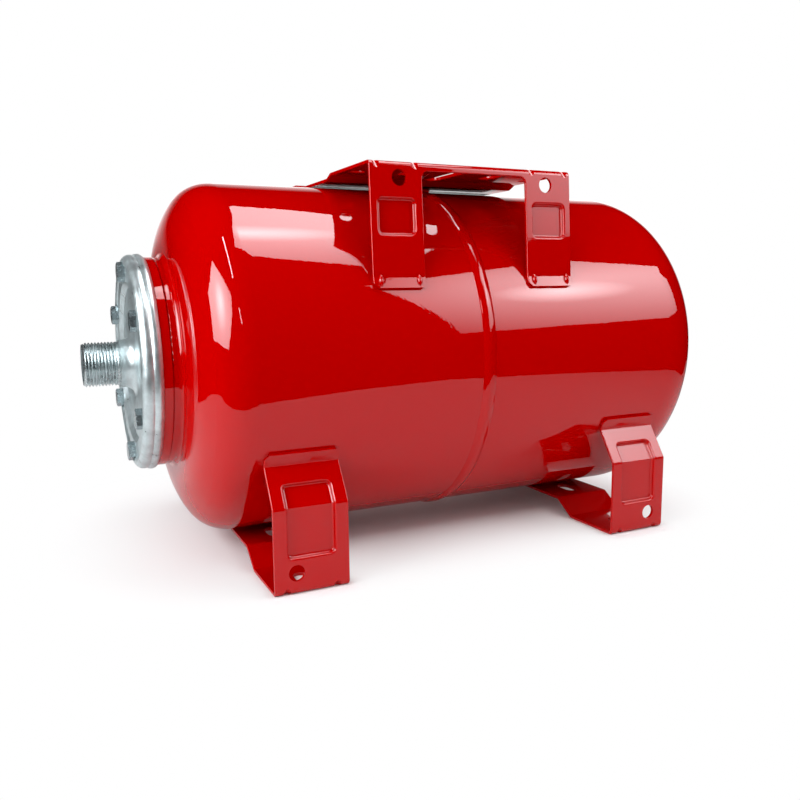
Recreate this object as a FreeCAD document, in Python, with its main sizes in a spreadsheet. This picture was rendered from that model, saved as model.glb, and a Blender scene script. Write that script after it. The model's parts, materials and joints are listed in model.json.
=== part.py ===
import FreeCAD, Part
import math
import os
import Sketcher

# Horizontal bladder accumulator of the 24 litre class: two drawn steel half shells joined by a
# girth weld, a rubber bladder clamped in the mouth by a pressed counter flange, two folded feet,
# a folded plate on top that carries a pump, and an air valve in the rear head.
# Frame: millimetres, +Z up, tank axis along X with the mouth towards -X. The origin lies on the
# floor, midway between the four slots that take the floor bolts.

Vector = FreeCAD.Vector
SHARP = 0.3
NEAR = 0.01
doc = FreeCAD.newDocument("bladder_accumulator")

# Driving sizes

SIZES = [
    ("shell_radius", 135.0, "outside radius of both half shells"),
    ("shell_wall", 1.2, "thickness of the drawn steel"),
    ("axis_height", 150.0, "tank axis above the floor"),
    ("front_tangent", 175.7, "seam to the end of the straight part, mouth side"),
    ("front_knuckle", 29.5, "radius where the front head turns in"),
    ("mouth_flat", 0.9, "flat between the shoulder and the hollow round the raised seat"),
    ("front_break", 55.0, "degrees turned by the knuckle before the shoulder starts"),
    ("rear_tangent", 177.0, "seam to the end of the straight part, valve side"),
    ("rear_knuckle", 48.0, "radius where the rear head turns in"),
    ("rear_crown", 243.0, "crown radius of the rear head"),
    ("front_edge", 1.0, "cut edge of the front shell, short of the seam"),
    ("lap_length", 12.0, "rear rim tucked inside the front shell"),
    ("lap_gap", 0.1, "clearance between the tucked rim and the front shell"),
    ("joggle_run", 2.5, "length over which the rear rim steps down"),
    ("weld_width", 11.0, "girth weld"),
    ("weld_height", 1.8, "girth weld above the shell"),
    ("nose_radius", 79.0, "raised seat of the mouth ring"),
    ("nose_reach", 7.5, "raised seat in front of the head"),
    ("nose_fillet", 4.0, "hollow between the head and the raised seat"),
    ("nose_edge", 1.2, "rounded rim of the raised seat"),
    ("mouth_bore", 47.0, "radius of the opening for the bladder"),
    ("ring_radius", 79.6, "outside of the mouth ring"),
    ("ring_thickness", 6.4, "mouth ring"),
    ("ring_edge", 0.5, "broken edges of the mouth ring"),
    ("bolt_circle", 68.3, "radius on which the six bolts stand"),
    ("bolt_count", 6, "bolts in the counter flange"),
    ("bolt_radius", 4.0, "M8 shank"),
    ("bolt_length", 18.0, "under the head"),
    ("bolt_head", 5.3, "head height"),
    ("bolt_flats", 13.0, "across flats"),
    ("thread_gap", 0.1, "between a bolt and its tapped hole, as the threads are not cut"),
    ("bolt_clearance", 0.5, "between a bolt and its hole in the counter flange"),
    ("bolt_seat", 8.4, "radius of the flat seat struck under each bolt head"),
    ("flange_sheet", 2.5, "counter flange"),
    ("rim_lobe", 4.4, "radius of the hind roll of the rim"),
    ("rim_radius", 80.2, "hind edge of the rim"),
    ("rim_waist", 6.4, "from the mouth ring to the groove between the rolls"),
    ("bead_radius", 5.6, "front roll of the rim"),
    ("bead_reach", 8.5, "from the mouth ring to the centre of the front roll"),
    ("bead_circle", 75.6, "centre of the front roll, from the tank axis"),
    ("seat_reach", 12.6, "from the mouth ring to the face under the bolt heads"),
    ("seat_inner", 61.0, "inner radius of the bolt seat"),
    ("dish_depth", 3.0, "dish inside the bolt seat"),
    ("dish_slope", 4.0, "width of the slope into the dish"),
    ("neck_fillet", 8.0, "where the face is drawn out into the neck"),
    ("neck_wall", 1.55, "thinned wall of the drawn neck"),
    ("neck_reach", 20.1, "from the mouth ring to the end of the neck"),
    ("pipe_radius", 16.6, "1 inch pipe thread, outside"),
    ("pipe_shank", 16.3, "plain part of the nipple inside the neck"),
    ("thread_clear", 1.2, "from the end of the neck to the thread"),
    ("pipe_bore", 12.75, "water passage"),
    ("pipe_end", 272.0, "seam to the open end of the nipple"),
    ("pipe_bevel", 1.3, "bevel at the open end"),
    ("neck_gap", 0.1, "between the nipple and the neck"),
    ("pipe_collar", 31.0, "radius of the collar welded behind the flange"),
    ("collar_sheet", 2.5, "thickness of that collar"),
    ("rubber", 1.6, "bladder wall"),
    ("rubber_gap", 0.3, "between the bladder neck and the steel round it"),
    ("lip_radius", 55.5, "clamped lip of the bladder"),
    ("bag_radius", 105.0, "bladder at its widest"),
    ("bag_neck", 210.0, "seam to the end of the straight neck"),
    ("bag_hollow", 14.0, "hollow where the neck opens"),
    ("bag_shoulder", 70.0, "round of the front shoulder"),
    ("bag_spread", 60.0, "degrees between the neck and the opening cone"),
    ("bag_front", 128.0, "seam to the start of the straight bag"),
    ("bag_rear", 120.0, "seam to the end of the straight bag"),
    ("bag_knuckle", 62.0, "round of the rear end"),
    ("bag_crown", 150.0, "crown of the rear end"),
    ("sheet", 2.5, "folded steel of the feet and of the top bracket"),
    ("bend", 1.5, "inside bend radius of the folded steel"),
    ("foot_width", 54.0, "each foot along the tank"),
    ("foot_spacing", 287.0, "between the centres of the feet"),
    ("leg_reach", 138.8, "outer face of a foot leg, from the tank axis"),
    ("leg_height", 60.8, "upright part of a foot leg"),
    ("foot_contact", 25.5, "degrees below the axis height where a foot lip touches"),
    ("lip_short", 5.0, "foot lip between its bend and the line of contact"),
    ("bracket_lip_short", 3.4, "bracket lip between its bend and the line of contact"),
    ("lip_long", 4.5, "lip beyond the line of contact"),
    ("lip_corner", 3.0, "cut corners of a lip"),
    ("strip_low", 84.5, "where the floor strip starts to rise"),
    ("strip_high", 65.5, "where the floor strip is level again, under the tank"),
    ("hole_radius", 5.75, "side holes and slots"),
    ("foot_hole_edge", 15.7, "side hole of a foot, from its outer edge"),
    ("foot_hole_height", 15.0, "side hole of a foot, above the floor"),
    ("slot_length", 22.0, "slots in the floor strip"),
    ("floor_slot_reach", 117.0, "floor slots, from the middle"),
    ("raised_slot_reach", 44.0, "slots in the raised part, from the middle"),
    ("panel_depth", 3.4, "pressed panels"),
    ("panel_round", 1.65, "rounds at the rim and at the floor of a pressed panel"),
    ("foot_panel_width", 34.0, "pressed panel of a foot"),
    ("foot_panel_low", 25.5, "lower edge of that panel"),
    ("foot_panel_high", 74.8, "upper edge of that panel"),
    ("dart_leg", 4.5, "height and depth of a gusset dart inside a fold"),
    ("dart_groove", 2.7, "radius of the round groove that a dart leaves outside"),
    ("dart_depth", 3.4, "deepest place of that groove, from the sharp corner of the fold"),
    ("rib_above", 2.2, "ribs pressed across the fold of a bracket lip, above that fold"),
    ("rib_below", 7.0, "these ribs below the fold"),
    ("rib_bulge", 1.9, "height of these ribs"),
    ("near_cut_depth", 44.0, "depth of the tools that cut one side or one level of a sheet"),
    ("foot_dart_offset", 18.2, "darts of a foot, from its middle"),
    ("plate_rise", 7.6, "top plate above the tank"),
    ("plate_length", 169.6, "top plate along the tank"),
    ("plate_shift", -3.5, "middle of the top plate, from the seam"),
    ("plate_reach", 117.2, "outer face of a bracket leg at the plate"),
    ("plate_low", 34.0, "half width of the middle that is pressed down on to the tank"),
    ("plate_high", 42.0, "where the plate is level again"),
    ("bracket_leg", 40.8, "width of a bracket leg"),
    ("bracket_contact", 25.5, "degrees above the axis height where a bracket lip touches"),
    ("apron", 6.0, "plate edge folded down between the legs"),
    ("apron_corner", 5.0, "round corners between the apron and the legs"),
    ("bracket_hole_drop", 11.3, "side holes below the top of the plate"),
    ("bracket_hole_spacing", 124.0, "between the side holes of one side"),
    ("bracket_panel_width", 28.3, "pressed panel of a bracket leg"),
    ("bracket_panel_tall", 24.8, "height of that panel"),
    ("bracket_panel_drop", 38.1, "middle of that panel below the top of the plate"),
    ("panel_corner", 3.5, "round corners of a pressed panel, in front"),
    ("cut_edge", 0.6, "edges of the folded steel, rounded by its paint"),
    ("bracket_dart_offset", 15.0, "darts of a bracket leg, from its middle"),
    ("pump_slot_width", 11.0, "slots and holes of the pump"),
    ("pump_slot_near", 46.0, "middle slot, inner end from the tank axis"),
    ("pump_slot_far", 96.0, "middle slot, outer end"),
    ("side_slot_offset", 36.0, "side slots from the middle slot"),
    ("side_slot_near", 68.0, "side slots, inner end"),
    ("side_slot_far", 93.0, "side slots, outer end"),
    ("pump_hole_offset", 74.0, "outer holes from the middle slot"),
    ("pump_hole_reach", 72.0, "outer holes from the tank axis"),
    ("valve_flat", 14.0, "flat round the air valve, radius"),
    ("valve_bore", 5.1, "hole for the valve"),
    ("stem_radius", 4.9, "valve stem"),
    ("stem_head", 8.5, "head of the stem inside the tank"),
    ("stem_head_thick", 2.5, "that head"),
    ("stem_length", 21.0, "stem outside the tank"),
    ("tip_radius", 3.85, "threaded tip of the stem"),
    ("tip_length", 8.0, "that tip"),
    ("stem_bore", 2.2, "air passage"),
    ("gasket_thick", 1.5, "rubber washer under the stem head"),
    ("nut_flats", 17.0, "valve nut across flats"),
    ("nut_height", 7.0, "valve nut with its collar"),
    ("nut_collar", 12.5, "radius of the nut collar"),
    ("nut_collar_thick", 2.0, "that collar"),
    ("core_gap", 0.05, "valve core in its bore"),
    ("core_length", 14.0, "valve core"),
    ("cap_radius", 5.0, "metal valve cap"),
    ("cap_length", 9.5, "metal valve cap"),
    ("cap_end", 1.5, "closed end of the metal cap"),
    ("cap_gap", 0.05, "between the cap and the tip"),
    ("cover_wall", 1.6, "plastic cover"),
    ("cover_length", 26.9, "plastic cover"),
    ("cover_gap", 0.05, "between the cover and the nut collar"),
    ("cover_round", 3.0, "round end of the plastic cover"),
]

sheet = doc.addObject("Spreadsheet::Sheet", "Sizes")
for row, (alias, number, note) in enumerate(SIZES, start=1):
    sheet.set(f"A{row}", alias)
    sheet.set(f"B{row}", str(number))
    sheet.set(f"C{row}", note)
    sheet.setAlias(f"B{row}", alias)
layout = doc.addObject("App::VarSet", "Layout")
doc.recompute()


# A size carries its number and the formula that drives it, so that a sketch can be drawn
# close to its solution and then bound to the sheet.
class Size:
    def __init__(self, formula, number):
        self.formula = formula
        self.number = float(number)

    def __add__(self, other):
        other = size(other)
        return Size(f"({self.formula} + {other.formula})", self.number + other.number)

    def __sub__(self, other):
        other = size(other)
        return Size(f"({self.formula} - {other.formula})", self.number - other.number)

    def __mul__(self, other):
        other = size(other)
        return Size(f"({self.formula} * {other.formula})", self.number * other.number)

    def __truediv__(self, other):
        other = size(other)
        return Size(f"({self.formula} / {other.formula})", self.number / other.number)

    def __neg__(self):
        return Size(f"(-1 * {self.formula})", -self.number)

    def __radd__(self, other):
        return size(other) + self

    def __rsub__(self, other):
        return size(other) - self

    def __rmul__(self, other):
        return size(other) * self

    def __rtruediv__(self, other):
        return size(other) / self


def size(value):
    if isinstance(value, Size):
        return value
    return Size(repr(float(value)), value)


def root(value):
    return Size(f"sqrt({value.formula})", math.sqrt(value.number))


def sine(degrees):
    degrees = size(degrees)
    return Size(f"sin({degrees.formula})", math.sin(math.radians(degrees.number)))


def cosine(degrees):
    degrees = size(degrees)
    return Size(f"cos({degrees.formula})", math.cos(math.radians(degrees.number)))


# Keeps a worked-out size under a name of its own.
def keep(name, value):
    layout.addProperty("App::PropertyFloat", name, "Layout")
    layout.setExpression(name, value.formula)
    return Size(f"Layout.{name}", value.number)


class Dimensions:
    pass


dim = Dimensions()
for alias, number, note in SIZES:
    setattr(dim, alias, Size(f"Sizes.{alias}", number))


# Sketches and features

def new_body(name):
    body = doc.addObject("PartDesign::Body", name)
    body.Label = name
    return body


def origin_plane(body, role):
    for feature in body.Origin.OriginFeatures:
        if feature.Role == role:
            return feature
    raise ValueError(role)


def new_sketch(body, name, role, lift=None, tilt=None):
    sketch = body.newObject("Sketcher::SketchObject", name)
    sketch.AttachmentSupport = [(origin_plane(body, role), "")]
    sketch.MapMode = "FlatFace"
    if lift is not None:
        for axis, value in zip("xyz", lift):
            sketch.setExpression(f"AttachmentOffset.Base.{axis}", size(value).formula)
    if tilt is not None:
        sketch.AttachmentOffset = FreeCAD.Placement(Vector(), FreeCAD.Rotation(Vector(1, 0, 0), 1))
        sketch.setExpression("AttachmentOffset.Rotation.Angle", tilt.formula)
    return sketch


def bind(sketch, kind, *places, value):
    value = size(value)
    index = sketch.addConstraint(Sketcher.Constraint(kind, *places, value.number))
    sketch.setExpression(f"Constraints[{index}]", value.formula)


def arc_between(start, end, radius, side):
    middle = (start + end) * 0.5
    chord = end - start
    rise = math.sqrt(max(radius * radius - chord.Length * chord.Length / 4, 0.0))
    left = Vector(-chord.y, chord.x, 0).normalize()
    centre = middle + left * (rise * side)
    first, last = (start, end) if side > 0 else (end, start)
    begin = math.atan2(first.y - centre.y, first.x - centre.x)
    finish = math.atan2(last.y - centre.y, last.x - centre.x)
    circle = Part.Circle(centre, Vector(0, 0, 1), radius)
    return Part.ArcOfCircle(circle, begin, finish)


# Draws a closed outline. Each corner is (x, y), or (x, y, radius, side) when an arc arrives
# there, with its centre on the left (side 1) or on the right (side -1) of the way.
def draw(sketch, corners):
    points = [Vector(size(c[0]).number, size(c[1]).number, 0) for c in corners]
    start_of = []
    end_of = []
    base = sketch.GeometryCount
    for index, corner in enumerate(corners):
        start = points[index - 1]
        end = points[index]
        if len(corner) == 2:
            sketch.addGeometry(Part.LineSegment(start, end))
            start_of.append(1)
            end_of.append(2)
        else:
            radius = size(corner[2])
            side = corner[3]
            sketch.addGeometry(arc_between(start, end, radius.number, side))
            start_of.append(1 if side > 0 else 2)
            end_of.append(2 if side > 0 else 1)
    count = len(corners)
    for index, corner in enumerate(corners):
        here = base + index
        following = base + (index + 1) % count
        joint = (here, end_of[index], following, start_of[(index + 1) % count])
        sketch.addConstraint(Sketcher.Constraint("Coincident", *joint))
        bind(sketch, "DistanceX", -1, 1, here, end_of[index], value=corner[0])
        bind(sketch, "DistanceY", -1, 1, here, end_of[index], value=corner[1])
        if len(corner) == 4:
            bind(sketch, "Radius", here, value=corner[2])


def draw_circle(sketch, x, y, radius):
    x, y, radius = size(x), size(y), size(radius)
    circle = Part.Circle(Vector(x.number, y.number, 0), Vector(0, 0, 1), radius.number)
    index = sketch.addGeometry(circle)
    bind(sketch, "Radius", index, value=radius)
    bind(sketch, "DistanceX", -1, 1, index, 3, value=x)
    bind(sketch, "DistanceY", -1, 1, index, 3, value=y)


# A slot. Its half circles are drawn as two quarters, which leaves every arc one solution.
def upright_slot(x, low, high, radius):
    return [
        (x, low, radius, 1), (x + radius, low + radius, radius, 1),
        (x + radius, high - radius), (x, high, radius, 1),
        (x - radius, high - radius, radius, 1), (x - radius, low + radius),
    ]


def turned(body, name, corners):
    sketch = new_sketch(body, f"{name}_section", "XZ_Plane")
    draw(sketch, corners)
    feature = body.newObject("PartDesign::Revolution", f"{name}_turned")
    feature.Profile = sketch
    feature.ReferenceAxis = (sketch, ["H_Axis"])
    feature.Angle = 360
    return feature


def padded(body, sketch, name, length, midplane=False, reverse=False):
    feature = body.newObject("PartDesign::Pad", name)
    feature.Profile = sketch
    feature.setExpression("Length", size(length).formula)
    feature.Midplane = midplane
    feature.Reversed = reverse
    return feature


def pocketed(body, sketch, name, length, midplane=False, reverse=False):
    feature = body.newObject("PartDesign::Pocket", name)
    feature.Profile = sketch
    feature.setExpression("Length", size(length).formula)
    feature.Midplane = midplane
    feature.Reversed = reverse
    return feature


def put_on_axis(body, x=None):
    body.setExpression("Placement.Base.z", dim.axis_height.formula)
    if x is not None:
        body.setExpression("Placement.Base.x", size(x).formula)


# Places worked out from the sizes, along the tank axis

front_centre_r = dim.shell_radius - dim.front_knuckle
shoulder_r = keep("shoulder_r", dim.nose_radius + dim.nose_fillet + dim.mouth_flat)
front_shoulder = keep(
    "front_shoulder", dim.front_knuckle + (front_centre_r - shoulder_r) / cosine(dim.front_break)
)
mouth_face = keep(
    "mouth_face",
    dim.front_tangent + dim.front_knuckle * sine(dim.front_break)
    + front_shoulder * (1 - sine(dim.front_break)),
)
shoulder_x = keep("shoulder_x", mouth_face - front_shoulder)
nose_x = keep("nose_x", mouth_face + dim.nose_reach)
ring_x = keep("ring_x", nose_x + dim.ring_thickness)
seat_x = keep("seat_x", ring_x + dim.seat_reach)
dish_x = keep("dish_x", seat_x - dim.dish_depth)
dish_inner = dim.seat_inner - dim.dish_slope
lap_radius = keep("lap_radius", dim.shell_radius - dim.shell_wall - dim.lap_gap)


# Half shells and their weld

# The front head between the straight part and the flat round the mouth, for one face of the
# wall: depth is how far that face lies inside the outer one.
def front_head(depth):
    knuckle = dim.front_knuckle - depth
    shoulder = front_shoulder - depth
    join_x = -dim.front_tangent - knuckle * sine(dim.front_break)
    join_r = front_centre_r + knuckle * cosine(dim.front_break)
    return [
        (-dim.front_tangent, dim.shell_radius - depth),
        (join_x, join_r, knuckle, 1),
        (-shoulder_x - shoulder, shoulder_r, shoulder, 1),
    ]


def back_along(corners):
    reverse = []
    for index in range(len(corners) - 1, -1, -1):
        point = corners[index][:2]
        arrives = corners[index + 1] if index + 1 < len(corners) else ()
        if len(arrives) == 4:
            point = point + (arrives[2], -arrives[3])
        reverse.append(point)
    return reverse


wall = dim.shell_wall
front_outside = [(-dim.front_edge, dim.shell_radius)] + front_head(size(0)) + [
    (-mouth_face, dim.nose_radius + dim.nose_fillet),
    (-mouth_face - dim.nose_fillet, dim.nose_radius, dim.nose_fillet, -1),
    (-nose_x + dim.nose_edge, dim.nose_radius),
    (-nose_x, dim.nose_radius - dim.nose_edge, dim.nose_edge, 1),
    (-nose_x, dim.mouth_bore),
]
front_inside = [
    (-nose_x + wall, dim.mouth_bore),
    (-nose_x + wall, dim.nose_radius - wall),
    (-mouth_face + wall, dim.nose_radius - wall),
] + back_along(front_head(wall)) + [(-dim.front_edge, dim.shell_radius - wall)]
front_shell = new_body("front_shell")
turned(front_shell, "front", front_outside + front_inside)
put_on_axis(front_shell)


# A dished end that closes at +X: knuckle, then crown, from radius down to hole.
def dished(tangent, radius, knuckle, crown, hole, name):
    spread = crown - knuckle
    inset = keep(f"{name}_inset", root(spread * spread - (radius - knuckle) * (radius - knuckle)))
    centre = tangent - inset
    join_x = keep(f"{name}_join_x", centre + crown * inset / spread)
    join_r = keep(f"{name}_join_r", crown * (radius - knuckle) / spread)
    end_x = keep(f"{name}_end", centre + root(crown * crown - hole * hole))
    return [(tangent, radius), (join_x, join_r, knuckle, -1), (end_x, hole, crown, -1)]


joggle_x = dim.joggle_run + dim.front_edge
rear_outer_end = dished(
    dim.rear_tangent, dim.shell_radius, dim.rear_knuckle, dim.rear_crown, dim.valve_flat, "rear_outer"
)
rear_inner_end = dished(
    dim.rear_tangent, dim.shell_radius - wall, dim.rear_knuckle - wall, dim.rear_crown - wall,
    dim.valve_flat, "rear_inner",
)
pole_x = rear_outer_end[-1][0]
pole_inner_x = pole_x - wall
rear_inner_end = rear_inner_end[:-1] + [(pole_inner_x, dim.valve_flat, dim.rear_crown - wall, -1)]
rear_shell = new_body("rear_shell")
turned(rear_shell, "rear", [
    (-dim.lap_length, lap_radius), (dim.front_edge, lap_radius), (joggle_x, dim.shell_radius),
] + rear_outer_end + [
    (pole_x, dim.valve_bore), (pole_inner_x, dim.valve_bore),
] + back_along(rear_inner_end) + [
    (joggle_x, dim.shell_radius - wall), (dim.front_edge, lap_radius - wall),
    (-dim.lap_length, lap_radius - wall),
])
put_on_axis(rear_shell)

half_weld = dim.weld_width / 2
weld_round = half_weld * half_weld / (dim.weld_height * 2) + dim.weld_height / 2
girth_weld = new_body("girth_weld")
turned(girth_weld, "weld", [
    (-half_weld, dim.shell_radius, weld_round, 1), (-dim.front_edge, dim.shell_radius),
    (-dim.front_edge, lap_radius), (dim.front_edge, lap_radius), (joggle_x, dim.shell_radius),
    (half_weld, dim.shell_radius),
])
put_on_axis(girth_weld)


# Mouth: ring, counter flange, nipple and bolts

edge = dim.ring_edge
mouth_ring = new_body("mouth_ring")
turned(mouth_ring, "ring", [
    (-nose_x, dim.mouth_bore), (-nose_x, dim.ring_radius - edge),
    (-nose_x - edge, dim.ring_radius, edge, 1), (-ring_x + edge, dim.ring_radius),
    (-ring_x, dim.ring_radius - edge, edge, 1), (-ring_x, dim.mouth_bore),
])


# A round hole through a turned piece, repeated on the bolt circle.
def bolt_holes(body, name, radius):
    sketch = new_sketch(body, f"{name}_circle", "YZ_Plane")
    draw_circle(sketch, size(0), dim.bolt_circle, radius)
    hole = pocketed(body, sketch, f"{name}_hole", 1)
    hole.Type = 1
    hole.Midplane = True
    all_round(body, hole, sketch)


# Repeats a cut once for each bolt, about the tank axis.
def all_round(body, cut, sketch):
    pattern = body.newObject("PartDesign::PolarPattern", f"{cut.Name}_pattern")
    pattern.Originals = [cut]
    pattern.Axis = (sketch, ["N_Axis"])
    pattern.Angle = 360
    pattern.setExpression("Occurrences", dim.bolt_count.formula)
    body.Tip = pattern


bolt_holes(mouth_ring, "tapped", dim.bolt_radius + dim.thread_gap)
put_on_axis(mouth_ring)

bead_x = ring_x + dim.bead_reach
bead_hollow = dim.bead_radius - dim.flange_sheet
waist_x = ring_x + dim.rim_waist
waist_run = dim.bead_reach - dim.rim_waist
waist_r = keep(
    "waist_r", dim.bead_circle + root(dim.bead_radius * dim.bead_radius - waist_run * waist_run)
)
waist_inside_r = keep(
    "waist_inside_r", dim.bead_circle + root(bead_hollow * bead_hollow - waist_run * waist_run)
)
seat_run = dim.seat_reach - dim.bead_reach
seat_inside_run = seat_run - dim.flange_sheet
seat_outer = keep(
    "seat_outer", dim.bead_circle - root(dim.bead_radius * dim.bead_radius - seat_run * seat_run)
)
seat_inside_r = keep(
    "seat_inside_r",
    dim.bead_circle - root(bead_hollow * bead_hollow - seat_inside_run * seat_inside_run),
)
neck_inside = dim.pipe_shank + dim.neck_gap
neck_radius = neck_inside + dim.neck_wall
neck_hollow = dim.neck_fillet + dim.flange_sheet
clamp_x = keep("clamp_x", dish_x - dim.flange_sheet)
counter_flange = new_body("counter_flange")
turned(counter_flange, "flange", [
    (-ring_x, waist_inside_r), (-ring_x, dim.rim_radius),
    (-waist_x, waist_r, dim.rim_lobe, 1),
    (-bead_x - dim.bead_radius, dim.bead_circle, dim.bead_radius, 1),
    (-seat_x, seat_outer, dim.bead_radius, 1),
    (-seat_x, dim.seat_inner), (-dish_x, dish_inner),
    (-dish_x, neck_radius + dim.neck_fillet),
    (-dish_x - dim.neck_fillet, neck_radius, dim.neck_fillet, -1),
    (-ring_x - dim.neck_reach, neck_radius), (-ring_x - dim.neck_reach, neck_inside),
    (-clamp_x - neck_hollow, neck_inside),
    (-clamp_x, neck_inside + neck_hollow, neck_hollow, 1),
    (-clamp_x, dish_inner + dim.flange_sheet / 2),
    (-seat_x + dim.flange_sheet, dim.seat_inner + dim.flange_sheet / 2),
    (-seat_x + dim.flange_sheet, seat_inside_r),
    (-bead_x - bead_hollow, dim.bead_circle, bead_hollow, -1),
    (-bead_x, dim.bead_circle + bead_hollow, bead_hollow, -1),
    (-waist_x, waist_inside_r, bead_hollow, -1),
])
bolt_holes(counter_flange, "bolt", dim.bolt_radius + dim.bolt_clearance)
seat_sketch = new_sketch(counter_flange, "seat_circle", "YZ_Plane", lift=(0, 0, -seat_x))
draw_circle(seat_sketch, size(0), dim.bolt_circle, dim.bolt_seat)
all_round(counter_flange, pocketed(counter_flange, seat_sketch, "seat", dim.bead_radius), seat_sketch)
put_on_axis(counter_flange)

thread_x = ring_x + dim.neck_reach + dim.thread_clear
water_nipple = new_body("water_nipple")
turned(water_nipple, "nipple", [
    (-dim.pipe_end, dim.pipe_bore), (-clamp_x + dim.collar_sheet, dim.pipe_bore),
    (-clamp_x + dim.collar_sheet, dim.pipe_collar), (-clamp_x, dim.pipe_collar),
    (-clamp_x, dim.pipe_shank), (-thread_x, dim.pipe_shank),
    (-thread_x - dim.pipe_radius + dim.pipe_shank, dim.pipe_radius),
    (-dim.pipe_end + dim.pipe_bevel, dim.pipe_radius),
    (-dim.pipe_end, dim.pipe_radius - dim.pipe_bevel),
])
put_on_axis(water_nipple)


# A hexagon with its flats apart by the given size, first corner on the sketch's y axis.
def hexagon(flats):
    corner_radius = flats / (2 * cosine(30))
    return [(corner_radius * sine(turn), corner_radius * cosine(turn)) for turn in range(0, 360, 60)]


# Trims the corners of a hexagon to a cone, at the end that faces outside.
def trim_corners(body, name, flats, end_x, way):
    corner_radius = flats / (2 * cosine(30))
    rise = (corner_radius - flats / 2) * 0.58
    sketch = new_sketch(body, f"{name}_trim", "XZ_Plane")
    beyond = corner_radius + 1
    draw(sketch, [
        (end_x, flats / 2), (end_x, beyond), (end_x - way * rise * 2, beyond),
        (end_x - way * rise, corner_radius),
    ])
    groove = body.newObject("PartDesign::Groove", f"{name}_trimmed")
    groove.Profile = sketch
    groove.ReferenceAxis = (sketch, ["H_Axis"])
    groove.Angle = 360


# The head lies on the -X side of the body's origin and the shank on the +X side.
def hexagon_bolt(name):
    body = new_body(name)
    shank = [
        (size(0), size(0)), (dim.bolt_length, size(0)),
        (dim.bolt_length, dim.bolt_radius - dim.thread_gap * 8),
        (dim.bolt_length - dim.thread_gap * 8, dim.bolt_radius), (size(0), dim.bolt_radius),
    ]
    turned(body, "shank", shank)
    sketch = new_sketch(body, "head_outline", "YZ_Plane")
    draw(sketch, hexagon(dim.bolt_flats))
    padded(body, sketch, "head", dim.bolt_head, reverse=True)
    trim_corners(body, "head", dim.bolt_flats, -dim.bolt_head, -1)
    return body


bolt_pitch = 360 / dim.bolt_count
for place in range(int(dim.bolt_count.number)):
    bolt = hexagon_bolt(f"flange_bolt_{place + 1}")
    put_on_axis(bolt, -seat_x)
    around = bolt_pitch * place
    bolt.setExpression("Placement.Base.y", (dim.bolt_circle * sine(around)).formula)
    height = dim.axis_height + dim.bolt_circle * cosine(around)
    bolt.setExpression("Placement.Base.z", height.formula)


# Bladder: clamped lip, neck through the ring, and bag

bag_neck_r = dim.mouth_bore - dim.rubber_gap
spread = dim.bag_spread


def bag_front(depth):
    hollow = dim.bag_hollow + depth
    shoulder = dim.bag_shoulder - depth
    neck_r = bag_neck_r - depth
    return [
        (-dim.bag_neck, neck_r),
        (-dim.bag_neck + hollow * sine(spread), neck_r + hollow * (1 - cosine(spread)), hollow, 1),
        (-dim.bag_front - shoulder * sine(spread),
         dim.bag_radius - depth - shoulder * (1 - cosine(spread))),
        (-dim.bag_front, dim.bag_radius - depth, shoulder, -1),
    ]


bag_outer = bag_front(size(0)) + dished(
    dim.bag_rear, dim.bag_radius, dim.bag_knuckle, dim.bag_crown, size(0), "bag_outer"
)
bag_inner = bag_front(dim.rubber) + dished(
    dim.bag_rear, dim.bag_radius - dim.rubber, dim.bag_knuckle - dim.rubber, dim.bag_crown - dim.rubber,
    size(0), "bag_inner",
)
bladder = new_body("bladder")
turned(bladder, "bladder", [
    (-ring_x, dim.lip_radius), (-ring_x, bag_neck_r),
] + bag_outer + back_along(bag_inner) + [
    (-clamp_x, bag_neck_r - dim.rubber), (-clamp_x, dim.lip_radius),
])
put_on_axis(bladder)


# Folded steel

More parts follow.
